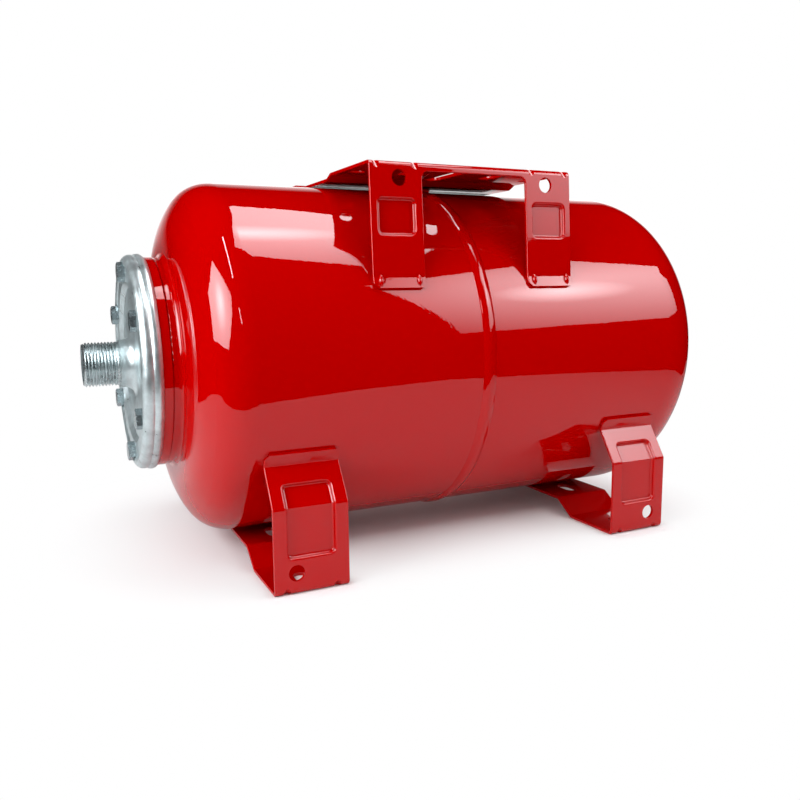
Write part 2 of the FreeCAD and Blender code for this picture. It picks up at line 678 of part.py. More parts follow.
# A way along the outer face of a sheet, drawn in the plane across the tank. The sheet lies on
# the left of the way. Each fold has the same inside radius.
class Fold:
    def __init__(self, corners, name):
        self.corners = corners
        self.name = name
        self.ways = []
        for index in range(len(corners) - 1):
            across = corners[index + 1][0] - corners[index][0]
            up = corners[index + 1][1] - corners[index][1]
            span = keep(f"{name}_span{index}", root(across * across + up * up))
            way_y = keep(f"{name}_way_y{index}", across / span)
            way_z = keep(f"{name}_way_z{index}", up / span)
            self.ways.append((way_y, way_z))

    # The line that runs at the given depth inside the outer face, with its folds as arcs.
    def line(self, depth):
        depth = size(depth)
        points = [self.beside(0, self.corners[0], depth)]
        for index in range(1, len(self.corners) - 1):
            first, second = self.ways[index - 1], self.ways[index]
            cross = first[0] * second[1] - first[1] * second[0]
            left = cross.number > 0
            ease = (cross if left else -cross) / (1 + first[0] * second[0] + first[1] * second[1])
            outer_radius = dim.bend + dim.sheet if left else dim.bend
            radius = outer_radius - depth if left else outer_radius + depth
            corner = self.corners[index]
            if radius.number < SHARP:
                way = depth * ease * (1 if left else -1)
                beside = self.beside(index - 1, corner, depth)
                points.append((beside[0] - first[0] * way, beside[1] - first[1] * way))
                continue
            reach = outer_radius * ease
            entry = (corner[0] - first[0] * reach, corner[1] - first[1] * reach)
            leave = (corner[0] + second[0] * reach, corner[1] + second[1] * reach)
            points.append(self.beside(index - 1, entry, depth))
            points.append(self.beside(index, leave, depth) + (radius, 1 if left else -1))
        points.append(self.beside(len(self.corners) - 2, self.corners[-1], depth))
        return points

    # The same way with both ends moved out.
    def longer(self, by):
        first, last = self.ways[0], self.ways[-1]
        head, tail = self.corners[0], self.corners[-1]
        start = (head[0] - first[0] * by, head[1] - first[1] * by)
        finish = (tail[0] + last[0] * by, tail[1] + last[1] * by)
        return Fold([start] + self.corners[1:-1] + [finish], f"{self.name}_longer")

    def end(self, which, depth):
        index = which if which == 0 else len(self.corners) - 2
        return self.beside(index, self.corners[which], size(depth))

    def beside(self, index, point, depth):
        way = self.ways[index]
        return (point[0] - way[1] * depth, point[1] + way[0] * depth)

    def band(self, near, far):
        return self.line(near) + back_along(self.line(far))


# Places where a lip ends and where it folds. The lip lies on the tank along a line at the given
# angle from the axis height; above is 1 over that height and -1 under it. The short side of the lip
# runs from its fold to that line.
def lip_corners(contact, short, above):
    outside = dim.shell_radius + dim.sheet
    y = -outside * cosine(contact)
    z = dim.axis_height + above * outside * sine(contact)
    end = (y - dim.lip_long * sine(contact), z - above * dim.lip_long * cosine(contact))
    fold = (y + short * sine(contact), z + above * short * cosine(contact))
    return end, fold


def across_tank(body, name, corners, width, middle=0, cut=False):
    sketch = new_sketch(body, f"{name}_outline", "YZ_Plane", lift=(0, 0, middle))
    draw(sketch, corners)
    make = pocketed if cut else padded
    return make(body, sketch, name, width, midplane=True)


# Rounds the edges of a body that pass through the given places, each (x, y, z).
def round_edges(body, name, places, radius):
    doc.recompute()
    base = body.Tip
    names = []
    for place in places:
        point = Part.Vertex(Vector(*[size(value).number for value in place]))
        for index, edge in enumerate(base.Shape.Edges, start=1):
            if edge.distToShape(point)[0] < NEAR:
                names.append(f"Edge{index}")
    if len(names) != len(places):
        raise ValueError(f"{name} found {len(names)} edges for {len(places)} places")
    feature = body.newObject("PartDesign::Fillet", name)
    feature.Base = (base, names)
    feature.setExpression("Radius", size(radius).formula)


# A pressed panel: metal is first added behind the sheet and then taken away in front of it, so
# that the sheet keeps its thickness. Its corners are rounded, then its rim and its floor.
def pressed_panel(body, name, fold, longer, width, middle=0):
    depth = dim.panel_depth
    middle = size(middle)
    back_width = width + dim.sheet * 2
    behind = longer.band(dim.sheet / 2, dim.sheet + depth)
    across_tank(body, f"{name}_back", behind, back_width, middle)
    across_tank(body, f"{name}_front", fold.band(-depth, depth), width, middle, cut=True)
    front, back = [], []
    for side in (-1, 1):
        for end in (0, -1):
            y, z = fold.end(end, depth / 2)
            front.append((middle + width / 2 * side, y, z))
            y, z = longer.end(end, dim.sheet + depth / 2)
            back.append((middle + back_width / 2 * side, y, z))
    round_edges(body, f"{name}_corners", front, dim.panel_corner)
    round_edges(body, f"{name}_back_corners", back, dim.panel_corner + dim.sheet)
    rims = [fold.end(-1, 0), fold.end(-1, depth)]
    rims += [longer.end(-1, dim.sheet), longer.end(-1, dim.sheet + depth)]
    round_edges(body, f"{name}_rims", [(middle, y, z) for y, z in rims], dim.panel_round)


# A gusset dart: a small rib inside a fold and the round groove that its pressing leaves outside.
# The groove runs square to the line that halves the fold, which is turned from the upright.
def gusset_dart(body, name, corner, ways, middle, turn):
    back, ahead = ways
    rib = dim.dart_leg
    reach = dim.sheet + rib

    def inside(along_back, along_ahead):
        y = corner[0] + back[0] * along_back + ahead[0] * along_ahead
        z = corner[1] + back[1] * along_back + ahead[1] * along_ahead
        return (y, z)

    half = dim.sheet / 2
    rib_corners = [inside(half, half), inside(half, reach), inside(reach, half)]
    if turning(rib_corners) < 0:
        rib_corners.reverse()
    across_tank(body, f"{name}_rib", rib_corners, dim.dart_groove * 2 + dim.sheet, middle)
    corner_y, corner_z = corner
    groove = new_sketch(
        body, f"{name}_groove_outline", "XZ_Plane", lift=(middle, corner_z, -size(corner_y)), tilt=turn
    )
    draw_circle(groove, 0, dim.dart_depth - dim.dart_groove, dim.dart_groove)
    pocketed(body, groove, f"{name}_groove", (dim.dart_depth + dim.dart_groove) * 4, midplane=True)


# A rib pressed across a shallow fold: a spindle whose axis joins the two faces.
def fold_rib(body, name, upper, lower, middle):
    sketch = new_sketch(body, f"{name}_outline", "YZ_Plane", lift=(0, 0, middle))
    across, up = lower[0] - upper[0], lower[1] - upper[1]
    bulge = dim.rib_bulge
    radius = keep(f"{name}_radius", (across * across + up * up) / (bulge * 8) + bulge / 2)
    draw(sketch, [upper, lower + (radius, 1)])
    feature = body.newObject("PartDesign::Revolution", name)
    feature.Profile = sketch
    feature.ReferenceAxis = (sketch, ["Edge1"])
    feature.Angle = 360


def turning(corners):
    a, b, c = [(p[0].number, p[1].number) for p in corners]
    return (b[0] - a[0]) * (c[1] - a[1]) - (b[1] - a[1]) * (c[0] - a[0])


# A cut through the near side only, drawn as seen from the front.
def near_cut(body, name, corners, y):
    sketch = new_sketch(body, f"{name}_outline", "XZ_Plane", lift=(0, 0, -y))
    if len(corners) == 3 and not isinstance(corners[0], tuple):
        draw_circle(sketch, *corners)
    else:
        draw(sketch, corners)
    return pocketed(body, sketch, name, dim.near_cut_depth, midplane=True)


def floor_cut(body, name, corners, height):
    sketch = new_sketch(body, f"{name}_outline", "XY_Plane", lift=(0, 0, height))
    if len(corners) == 3 and not isinstance(corners[0], tuple):
        draw_circle(sketch, *corners)
    else:
        draw(sketch, corners)
    return pocketed(body, sketch, name, dim.near_cut_depth, midplane=True)


# Mirrors the whole of a body, which has to be computed up to here first.
def whole_mirror(body, name, role):
    doc.recompute()
    feature = body.newObject("PartDesign::Mirrored", name)
    feature.TransformMode = "Whole shape"
    feature.MirrorPlane = (origin_plane(body, role), [""])
    body.Tip = feature


# Feet: a strip on the floor, pressed up under the tank, two legs and two lips. One half is
# drawn, on the near side of the tank, and mirrored.

foot_end, foot_fold = lip_corners(dim.foot_contact, dim.lip_short, -1)
knee = (-dim.leg_reach, dim.leg_height)
heel = (-dim.leg_reach, size(0))
strip_rise = dim.axis_height - dim.shell_radius - dim.sheet
foot_way = Fold([
    foot_end, foot_fold, knee, heel, (-dim.strip_low, size(0)), (-dim.strip_high, strip_rise),
    (size(0), strip_rise),
], "foot")
panel_part = (dim.foot_panel_high - knee[1]) / (foot_fold[1] - knee[1])
foot_panel = Fold([
    (knee[0] + (foot_fold[0] - knee[0]) * panel_part, dim.foot_panel_high),
    knee, (-dim.leg_reach, dim.foot_panel_low),
], "foot_panel")
foot_panel_back = foot_panel.longer(dim.sheet)


def make_foot(name, middle, turned_round):
    foot = new_body(name)
    half = dim.foot_width / 2
    across_tank(foot, "strip", foot_way.band(0, dim.sheet), dim.foot_width)
    long_edges = []
    for side in (-1, 1):
        for depth in (size(0), dim.sheet):
            long_edges.append((half * side, depth - dim.leg_reach, dim.leg_height / 2))
    round_edges(foot, "long_edges", long_edges, dim.cut_edge)
    for side in (-1, 1):
        label = "left" if side < 0 else "right"
        corner_x = half * side
        inner_x = corner_x - dim.lip_corner * side
        triangle = [
            (corner_x + side, foot_end[1] + 1), (inner_x - side, foot_end[1] + 1),
            (corner_x + side, foot_end[1] - dim.lip_corner - 1),
        ]
        if side > 0:
            triangle.reverse()
            triangle = triangle[1:] + triangle[:1]
        near_cut(foot, f"lip_{label}", triangle, -dim.leg_reach)
    for side in (-1, 1):
        label = "left" if side < 0 else "right"
        gusset_dart(
            foot, f"dart_{label}", heel, ((0, 1), (1, 0)), dim.foot_dart_offset * side, size(-45)
        )
    pressed_panel(foot, "panel", foot_panel, foot_panel_back, dim.foot_panel_width)
    near_cut(
        foot, "side_hole",
        [dim.foot_hole_edge - half, dim.foot_hole_height, dim.hole_radius], -dim.leg_reach,
    )
    for place, reach in (("floor", dim.floor_slot_reach), ("raised", dim.raised_slot_reach)):
        low = -reach - dim.slot_length / 2
        slot = upright_slot(size(0), low, low + dim.slot_length, dim.hole_radius)
        floor_cut(foot, f"{place}_slot", slot, 0)
    whole_mirror(foot, "far_half", "XZ_Plane")
    if turned_round:
        foot.Placement = FreeCAD.Placement(Vector(), FreeCAD.Rotation(Vector(0, 0, 1), 180))
    foot.setExpression("Placement.Base.x", middle.formula)


make_foot("front_foot", -dim.foot_spacing / 2, False)
make_foot("rear_foot", dim.foot_spacing / 2, True)


# Top bracket: a plate whose middle is pressed down on to the tank, four legs and four lips.
# One quarter is drawn and mirrored twice.

crown_z = dim.axis_height + dim.shell_radius
plate_z = crown_z + dim.plate_rise
bracket_end, bracket_fold = lip_corners(dim.bracket_contact, dim.bracket_lip_short, 1)
shoulder = (-dim.plate_reach, plate_z)
middle_z = crown_z + dim.weld_height + dim.sheet
bracket_way = Fold([
    (size(0), middle_z), (-dim.plate_low, middle_z),
    (-dim.plate_high, plate_z), shoulder, bracket_fold, bracket_end,
], "bracket")
leg_way_y, leg_way_z = bracket_way.ways[3]


def down_leg(distance):
    return (shoulder[0] + leg_way_y * distance, shoulder[1] + leg_way_z * distance)


lip_way_y, lip_way_z = bracket_way.ways[4]
fold_y, fold_z = bracket_fold
leg_above_fold = (fold_y - leg_way_y * dim.rib_above, fold_z - leg_way_z * dim.rib_above)
lip_below_fold = (fold_y + lip_way_y * dim.rib_below, fold_z + lip_way_z * dim.rib_below)
panel_half = dim.bracket_panel_tall / 2
bracket_panel = Fold([
    down_leg(dim.bracket_panel_drop - panel_half), down_leg(dim.bracket_panel_drop + panel_half),
], "bracket_panel")
bracket_panel_back = bracket_panel.longer(dim.sheet)
half_plate = dim.plate_length / 2
leg_inner_x = half_plate - dim.bracket_leg
leg_middle_x = half_plate - dim.bracket_leg / 2
pump_bracket = new_body("pump_bracket")
across_tank(pump_bracket, "plate", bracket_way.band(0, dim.sheet), half_plate, half_plate / 2)
apron_z = plate_z - dim.apron
round_off = dim.apron_corner
window_low = bracket_end[1] - dim.lip_corner
near_cut(pump_bracket, "window", [
    (-round_off, window_low), (leg_inner_x, window_low), (leg_inner_x, apron_z - round_off),
    (leg_inner_x - round_off, apron_z, round_off, 1), (-round_off, apron_z),
], -dim.plate_reach)
leg_edges = []
for x in (leg_inner_x, half_plate):
    for depth in (size(0), dim.sheet):
        y, z = bracket_way.beside(3, down_leg(dim.bracket_panel_drop), depth)
        leg_edges.append((x, y, z))
round_edges(pump_bracket, "long_edges", leg_edges, dim.cut_edge)
for side, corner_x in ((-1, leg_inner_x), (1, half_plate)):
    label = "left" if side < 0 else "right"
    inner_x = corner_x - dim.lip_corner * side
    triangle = [
        (corner_x + side, bracket_end[1] - 1), (inner_x - side, bracket_end[1] - 1),
        (corner_x + side, bracket_end[1] + dim.lip_corner + 1),
    ]
    if side < 0:
        triangle.reverse()
    near_cut(pump_bracket, f"lip_{label}", triangle, -dim.plate_reach)
for side in (-1, 1):
    label = "left" if side < 0 else "right"
    middle = leg_middle_x + dim.bracket_dart_offset * side
    ways = ((1, 0), (leg_way_y, leg_way_z))
    gusset_dart(pump_bracket, f"dart_{label}", shoulder, ways, middle, size(-135))
    fold_rib(pump_bracket, f"lip_rib_{label}", leg_above_fold, lip_below_fold, middle)
pressed_panel(
    pump_bracket, "panel", bracket_panel, bracket_panel_back, dim.bracket_panel_width, leg_middle_x
)
near_cut(
    pump_bracket, "side_hole",
    [dim.bracket_hole_spacing / 2, plate_z - dim.bracket_hole_drop, dim.hole_radius],
    -dim.plate_reach,
)
slot_half = dim.pump_slot_width / 2
floor_cut(
    pump_bracket, "middle_slot",
    upright_slot(size(0), -dim.pump_slot_far, -dim.pump_slot_near, slot_half), plate_z,
)
floor_cut(
    pump_bracket, "side_slot",
    upright_slot(dim.side_slot_offset, -dim.side_slot_far, -dim.side_slot_near, slot_half),
    plate_z,
)
floor_cut(
    pump_bracket, "outer_hole", [dim.pump_hole_offset, -dim.pump_hole_reach, slot_half], plate_z
)
whole_mirror(pump_bracket, "left_half", "YZ_Plane")
whole_mirror(pump_bracket, "far_half", "XZ_Plane")
pump_bracket.setExpression("Placement.Base.x", dim.plate_shift.formula)


# Air valve in the rear head

head_x = pole_inner_x - dim.gasket_thick
tip_x = pole_x + dim.stem_length
valve_stem = new_body("valve_stem")
turned(valve_stem, "stem", [
    (head_x - dim.stem_head_thick, dim.stem_bore), (tip_x, dim.stem_bore),
    (tip_x, dim.tip_radius), (tip_x - dim.tip_length, dim.tip_radius),
    (tip_x - dim.tip_length, dim.stem_radius), (head_x, dim.stem_radius),
    (head_x, dim.stem_head), (head_x - dim.stem_head_thick, dim.stem_head),
])
put_on_axis(valve_stem)

valve_gasket = new_body("valve_gasket")
turned(valve_gasket, "gasket", [
    (head_x, dim.stem_radius), (pole_inner_x, dim.stem_radius), (pole_inner_x, dim.stem_head),
    (head_x, dim.stem_head),
])
put_on_axis(valve_gasket)

valve_nut = new_body("valve_nut")
collar_x = pole_x + dim.nut_collar_thick
nut_x = pole_x + dim.nut_height
turned(valve_nut, "collar", [
    (pole_x, dim.stem_radius), (collar_x, dim.stem_radius), (collar_x, dim.nut_collar),
    (pole_x, dim.nut_collar),
])
nut_sketch = new_sketch(valve_nut, "flats", "YZ_Plane", lift=(0, 0, pole_x))
draw(nut_sketch, hexagon(dim.nut_flats))
draw_circle(nut_sketch, size(0), size(0), dim.stem_radius)
padded(valve_nut, nut_sketch, "hexagon", dim.nut_height)
trim_corners(valve_nut, "hexagon", dim.nut_flats, nut_x, 1)
put_on_axis(valve_nut)

valve_core = new_body("valve_core")
core_radius = dim.stem_bore - dim.core_gap
turned(valve_core, "core", [
    (tip_x - dim.core_length, size(0)), (tip_x, size(0)), (tip_x, core_radius / 2),
    (tip_x - core_radius, core_radius), (tip_x - dim.core_length, core_radius),
])
put_on_axis(valve_core)

valve_cap = new_body("valve_cap")
cap_x = tip_x + dim.cap_end
cap_inside = dim.tip_radius + dim.cap_gap
turned(valve_cap, "cap", [
    (tip_x, size(0)), (cap_x, size(0)), (cap_x, dim.cap_radius - dim.cap_end / 2),
    (cap_x - dim.cap_end / 2, dim.cap_radius), (cap_x - dim.cap_length, dim.cap_radius),
    (cap_x - dim.cap_length, cap_inside), (tip_x, cap_inside),
])
put_on_axis(valve_cap)

valve_cover = new_body("valve_cover")
cover_x = pole_x + dim.cover_length
cover_inside = dim.nut_collar + dim.cover_gap
cover_outside = cover_inside + dim.cover_wall
cover_hollow = dim.cover_round - dim.cover_wall
turned(valve_cover, "cover", [
    (pole_x, cover_inside), (cover_x - dim.cover_round, cover_inside),
    (cover_x - dim.cover_wall, cover_inside - cover_hollow, cover_hollow, 1),
    (cover_x - dim.cover_wall, size(0)), (cover_x, size(0)),
    (cover_x, cover_outside - dim.cover_round),
    (cover_x - dim.cover_round, cover_outside, dim.cover_round, 1), (pole_x, cover_outside),
])
put_on_axis(valve_cover)


# Check and write

doc.recompute()
for feature in doc.Objects:
    if "Invalid" in feature.State or "Error" in feature.State:
        raise RuntimeError(f"{feature.Name} failed: {feature.State}")
pieces = [item for item in doc.Objects if item.TypeId == "PartDesign::Body"]
for piece in pieces:
    if piece.Shape.isNull() or not piece.Shape.isValid() or len(piece.Shape.Solids) != 1:
        raise RuntimeError(f"{piece.Label} is not one valid solid")
os.makedirs("parts", exist_ok=True)
for piece in pieces:
    piece.Shape.exportStep(f"parts/{piece.Label}.step")
    print(f"{piece.Label}: {piece.Shape.Volume / 1000:.2f} cm3")
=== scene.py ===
import json
import math

import bmesh
import bpy
from mathutils import Matrix, Vector, noise


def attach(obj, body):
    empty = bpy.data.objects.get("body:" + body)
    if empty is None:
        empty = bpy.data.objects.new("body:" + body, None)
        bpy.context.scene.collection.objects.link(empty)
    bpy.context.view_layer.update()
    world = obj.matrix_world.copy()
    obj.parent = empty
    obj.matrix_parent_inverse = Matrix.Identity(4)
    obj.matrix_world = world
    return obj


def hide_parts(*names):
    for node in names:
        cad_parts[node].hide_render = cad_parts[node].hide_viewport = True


# Horizontal bladder accumulator: a glossy red tank on two folded feet, with a plate for a pump on
# top and a galvanised counter flange at the mouth. Metres, +Z up, tank axis along X.

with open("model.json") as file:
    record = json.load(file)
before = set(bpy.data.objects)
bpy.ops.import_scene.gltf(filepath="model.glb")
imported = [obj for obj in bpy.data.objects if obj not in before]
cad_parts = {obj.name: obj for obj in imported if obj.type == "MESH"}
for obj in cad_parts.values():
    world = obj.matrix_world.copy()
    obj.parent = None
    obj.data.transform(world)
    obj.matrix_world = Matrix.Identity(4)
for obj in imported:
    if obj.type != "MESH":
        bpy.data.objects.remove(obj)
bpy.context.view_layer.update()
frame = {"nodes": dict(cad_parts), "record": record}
nodes = frame["nodes"]

tankAxis = 0.150


# Materials


def newMaterial(name, colour, roughness, metallic=0.0, coat=0.0):
    material = bpy.data.materials.new(name)
    material.use_nodes = True
    shader = material.node_tree.nodes["Principled BSDF"]
    shader.inputs["Base Color"].default_value = (*colour, 1.0)
    shader.inputs["Roughness"].default_value = roughness
    shader.inputs["Metallic"].default_value = metallic
    shader.inputs["Coat Weight"].default_value = coat
    return material, shader


def addNode(material, kind, **values):
    node = material.node_tree.nodes.new(kind)
    for name, value in values.items():
        if name in node.inputs:
            node.inputs[name].default_value = value
        else:
            setattr(node, name, value)
    return node


def link(material, source, socket, target, entry):
    material.node_tree.links.new(source.outputs[socket], target.inputs[entry])


def mathNode(material, operation, *inputs):
    node = addNode(material, "ShaderNodeMath", operation=operation)
    for entry, value in enumerate(inputs):
        if isinstance(value, tuple):
            link(material, value[0], value[1], node, entry)
        else:
            node.inputs[entry].default_value = value
    return node, "Value"


# Carries a value evenly from one pair of stops to another.
def ramp(material, value, start, stop, low=0.0, high=1.0):
    node = addNode(material, "ShaderNodeMapRange")
    for entry, number in (("From Min", start), ("From Max", stop), ("To Min", low), ("To Max", high)):
        node.inputs[entry].default_value = number
    link(material, *value, node, "Value")
    return node, "Result"


paintLook = {
    "body": (0.46, 0.0, 0.0), "rough": 0.45, "coatRough": 0.012,
    "peelScale": 380.0, "peelDepth": 0.000011, "peelDetail": 1.0, "swellScale": 30.0, "swellDepth": 0.00004,
}


# Powder coat: a red body under a clear gloss, with orange peel and a slow swell in the gloss.
def makePaint():
    look = paintLook
    material, shader = newMaterial("redPaint", look["body"], look["rough"], coat=1.0)
    shader.inputs["Coat Roughness"].default_value = look["coatRough"]
    shader.inputs["Specular IOR Level"].default_value = 0.0
    place = addNode(material, "ShaderNodeTexCoord")
    swell = addNode(material, "ShaderNodeTexNoise", Scale=look["swellScale"], Detail=0.0)
    peel = addNode(material, "ShaderNodeTexNoise", Scale=look["peelScale"], Detail=look["peelDetail"])
    slow = addNode(material, "ShaderNodeBump", Strength=1.0, Distance=look["swellDepth"])
    fine = addNode(material, "ShaderNodeBump", Strength=1.0, Distance=look["peelDepth"])
    link(material, place, "Object", swell, "Vector")
    link(material, place, "Object", peel, "Vector")
    link(material, swell, "Fac", slow, "Height")
    link(material, peel, "Fac", fine, "Height")
    link(material, slow, "Normal", fine, "Normal")
    link(material, fine, "Normal", shader, "Coat Normal")
    return material


zincLook = {
    "zincCoat": {
        "colour": (0.66, 0.75, 0.76), "metallic": 0.80, "rough": (0.26, 0.44),
        "scale": 90.0, "depth": 0.00012,
    },
    "nippleZinc": {
        "colour": (0.60, 0.67, 0.68), "metallic": 0.92, "rough": (0.24, 0.34),
        "scale": 120.0, "depth": 0.00003,
    },
    "boltZinc": {
        "colour": (0.40, 0.47, 0.49), "metallic": 0.82, "rough": (0.18, 0.32),
        "scale": 240.0, "depth": 0.00004,
    },
}

# Every zinc's noise: its stops with their shares of the colour, its stops for gloss, and the grain.
zincClouds = {
    "cloud": {"Detail": 5.0, "Roughness": 0.62}, "grain": {"Detail": 2.0}, "grainScale": 7,
    "tones": ((0.32, 0.76), (0.68, 1.14)), "gloss": (0.3, 0.7), "grainShare": 0.2, "grainStrength": 0.6,
}


# Zinc: cloudy in colour and in gloss, with small runs and grains.
def makeZinc(name):
    look, clouds = zincLook[name], zincClouds
    material, shader = newMaterial(name, look["colour"], look["rough"][1], metallic=look["metallic"])
    place = addNode(material, "ShaderNodeTexCoord")
    cloud = addNode(material, "ShaderNodeTexNoise", **clouds["cloud"], Scale=look["scale"])
    grainScale = look["scale"] * clouds["grainScale"]
    grain = addNode(material, "ShaderNodeTexNoise", **clouds["grain"], Scale=grainScale)
    tones = addNode(material, "ShaderNodeValToRGB")
    for stop, (position, share) in zip(tones.color_ramp.elements, clouds["tones"]):
        stop.position = position
        stop.color = (*[min(c * share, 1.0) for c in look["colour"]], 1.0)
    runs = addNode(material, "ShaderNodeBump", Strength=1.0, Distance=look["depth"])
    grainDepth = look["depth"] * clouds["grainShare"]
    grains = addNode(material, "ShaderNodeBump", Strength=clouds["grainStrength"], Distance=grainDepth)
    for texture in (cloud, grain):
        link(material, place, "Object", texture, "Vector")
    link(material, cloud, "Fac", tones, "Fac")
    link(material, tones, "Color", shader, "Base Color")
    gloss = ramp(material, (cloud, "Fac"), *clouds["gloss"], *look["rough"])
    link(material, *gloss, shader, "Roughness")
    link(material, cloud, "Fac", runs, "Height")
    link(material, grain, "Fac", grains, "Height")
    link(material, runs, "Normal", grains, "Normal")
    link(material, grains, "Normal", shader, "Normal")
    return material


plainLook = {
    "blackRubber": {"colour": (0.02, 0.02, 0.02), "roughness": 0.7},
    "valveBrass": {"colour": (0.72, 0.55, 0.27), "roughness": 0.25, "metallic": 1.0},
    "blackPlastic": {"colour": (0.015, 0.015, 0.015), "roughness": 0.45},
}

redPaint = makePaint()
zincCoat, nippleZinc, boltZinc = [makeZinc(name) for name in zincLook]
rubber, brass, plastic = [newMaterial(name, **look)[0] for name, look in plainLook.items()]

finishes = {
    "red_paint": redPaint, "galvanised": zincCoat, "zinc_bolt": boltZinc, "bladder_rubber": rubber,
    "valve_brass": brass, "black_plastic": plastic,
}
for part in frame["record"]["subparts"]:
    node = nodes[part["node"]]
    node.data.materials.clear()
    node.data.materials.append(finishes[part["material_slot"]])
print("CAD nodes painted")


def newObject(name, work, material):
    mesh = bpy.data.meshes.new(name)
    work.to_mesh(mesh)
    work.free()
    mesh.materials.append(material)
    thing = bpy.data.objects.new(name, mesh)
    bpy.context.scene.collection.objects.link(thing)
    return thing


# Turned pieces with detail that the solids leave out


# A closed ring body: its outline is spun about X, then each corner moves to its own radius about the
# tank axis. Each row of the outline is (x, radius), or (x, function of the angle).
def turnedRing(name, rows, steps, material, sharpAngle):
    work = bmesh.new()
    rowOf = work.verts.layers.int.new("row")
    outline = []
    for row, (x, radius) in enumerate(rows):
        corner = work.verts.new((x, 0, 1))
        corner[rowOf] = row
        outline.append(corner)
    sides = [work.edges.new(pair) for pair in zip(outline, outline[1:] + outline[:1])]
    bmesh.ops.spin(
        work, geom=outline + sides, cent=(0, 0, 0), axis=(-1, 0, 0), angle=math.tau, steps=steps,
        use_merge=True,
    )
    for corner in work.verts:
        step = round(math.atan2(corner.co.y, corner.co.z) / math.tau * steps) % steps
        angle = math.tau * step / steps
        x, radius = rows[corner[rowOf]]
        r = radius(angle) if callable(radius) else radius
        corner.co = (x, r * math.sin(angle), tankAxis + r * math.cos(angle))
    work.verts.layers.int.remove(rowOf)
    bmesh.ops.recalc_face_normals(work, faces=work.faces)
    thing = newObject(name, work, material)
    thing.data.shade_smooth()
    thing.data.set_sharp_from_angle(angle=math.radians(sharpAngle))
    return thing


thread = {
    "pitch": 0.002309, "depth": 0.00150, "crest": 0.0166, "shank": 0.0163, "bore": 0.01275,
    "begin": -0.24721, "finish": -0.2707, "end": -0.272, "bevel": 0.0153,
    "collarFront": -0.23301, "collarBack": -0.23051, "collar": 0.031,
    "steps": 128, "rowsPerTurn": 14, "fade": 1.3, "rootSharpness": 1.15, "sharpAngle": 55,
}


# Helical pipe thread: rounded crests and roots, which run out towards the neck.
def addNipple():
    t = thread

    def threadAt(x):
        depth = t["depth"] * min((t["begin"] - x) / (t["pitch"] * t["fade"]), 1.0)

        def radius(angle):
            turn = (x / t["pitch"] + angle / math.tau) % 1.0
            slope = abs(turn * 2 - 1)
            return t["crest"] - depth * (0.5 - 0.5 * math.cos(math.pi * slope)) ** t["rootSharpness"]

        return radius

    count = round((t["begin"] - t["finish"]) / t["pitch"] * t["rowsPerTurn"])
    rows = [
        (t["end"], t["bore"]), (t["collarBack"], t["bore"]), (t["collarBack"], t["collar"]),
        (t["collarFront"], t["collar"]), (t["collarFront"], t["shank"]), (t["begin"], t["shank"]),
    ]
    for row in range(1, count + 1):
        x = t["begin"] + (t["finish"] - t["begin"]) * row / count
        rows.append((x, threadAt(x)))
    rows.append((t["end"], t["bevel"]))
    nipple = turnedRing("threadedNipple", rows, t["steps"], nippleZinc, t["sharpAngle"])
    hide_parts("water_nipple")
    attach(nipple, "root")


weld = {
    "half": 0.0055, "shell": 0.135, "height": 0.00162, "root": 0.1337, "gap": 0.001, "joggle": 0.0035,
    "rows": 12, "steps": 900, "ripple": 0.00011, "rippleLength": 0.0023, "rippleLag": 0.9,
    "sway": 0.00018, "swayLength": 0.014, "swayAcross": 40, "sharpAngle": 50,
}


# Girth weld: a low round bead with the fine ripple and slow sway of the weld pool.
def addWeld():
    w = weld

    def beadAt(x):
        share = 1 - (x / w["half"]) ** 2

        def radius(angle):
            along = angle * w["shell"]
            lag = abs(x) * w["rippleLag"]
            ripple = w["ripple"] * math.sin(math.tau * (along + lag) / w["rippleLength"])
            around = Vector((math.sin(angle), math.cos(angle), x * w["swayAcross"]))
            sway = w["sway"] * noise.noise(around * (w["shell"] / w["swayLength"]))
            return w["shell"] + share * (w["height"] + ripple + sway)

        return radius

    rows = [(-w["half"], w["shell"])]
    for row in range(1, w["rows"]):
        x = w["half"] * (row * 2 / w["rows"] - 1)
        rows.append((x, beadAt(x)))
    rows += [
        (w["half"], w["shell"]), (w["joggle"], w["shell"]), (w["gap"], w["root"]),
        (-w["gap"], w["root"]), (-w["gap"], w["shell"]),
    ]
    bead = turnedRing("girthBead", rows, w["steps"], redPaint, w["sharpAngle"])
    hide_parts("girth_weld")
    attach(bead, "root")


addNipple()
addWeld()
print("nipple and weld added")


# Studio, laid out after the reflections in the photo

studio = {"ambient": 0.55, "tint": (0.98, 0.99, 1.02)}


def stagePiece(name, corners, material):
    work = bmesh.new()
    work.faces.new([work.verts.new(corner) for corner in corners])
    thing = newObject(name, work, material)


def glow(name, colour):
    material = bpy.data.materials.new(name)
    material.use_nodes = True
    material.node_tree.nodes.clear()
    emission = addNode(material, "ShaderNodeEmission", Color=(*colour, 1))
    output = addNode(material, "ShaderNodeOutputMaterial")
    link(material, emission, "Emission", output, "Surface")
    return material, emission


# A round patch of light that fades towards its rim: middle, radii and strength.
def addPatch(material, place, middle, radii, strength):
    shift = addNode(material, "ShaderNodeMapping", vector_type="TEXTURE")
    shift.inputs["Location"].default_value = middle
    shift.inputs["Scale"].default_value = radii
    ball = addNode(material, "ShaderNodeTexGradient", gradient_type="SPHERICAL")
    link(material, place, "Object", shift, "Vector")
    link(material, shift, "Vector", ball, "Vector")
    return mathNode(material, "MULTIPLY", (ball, "Fac"), strength)


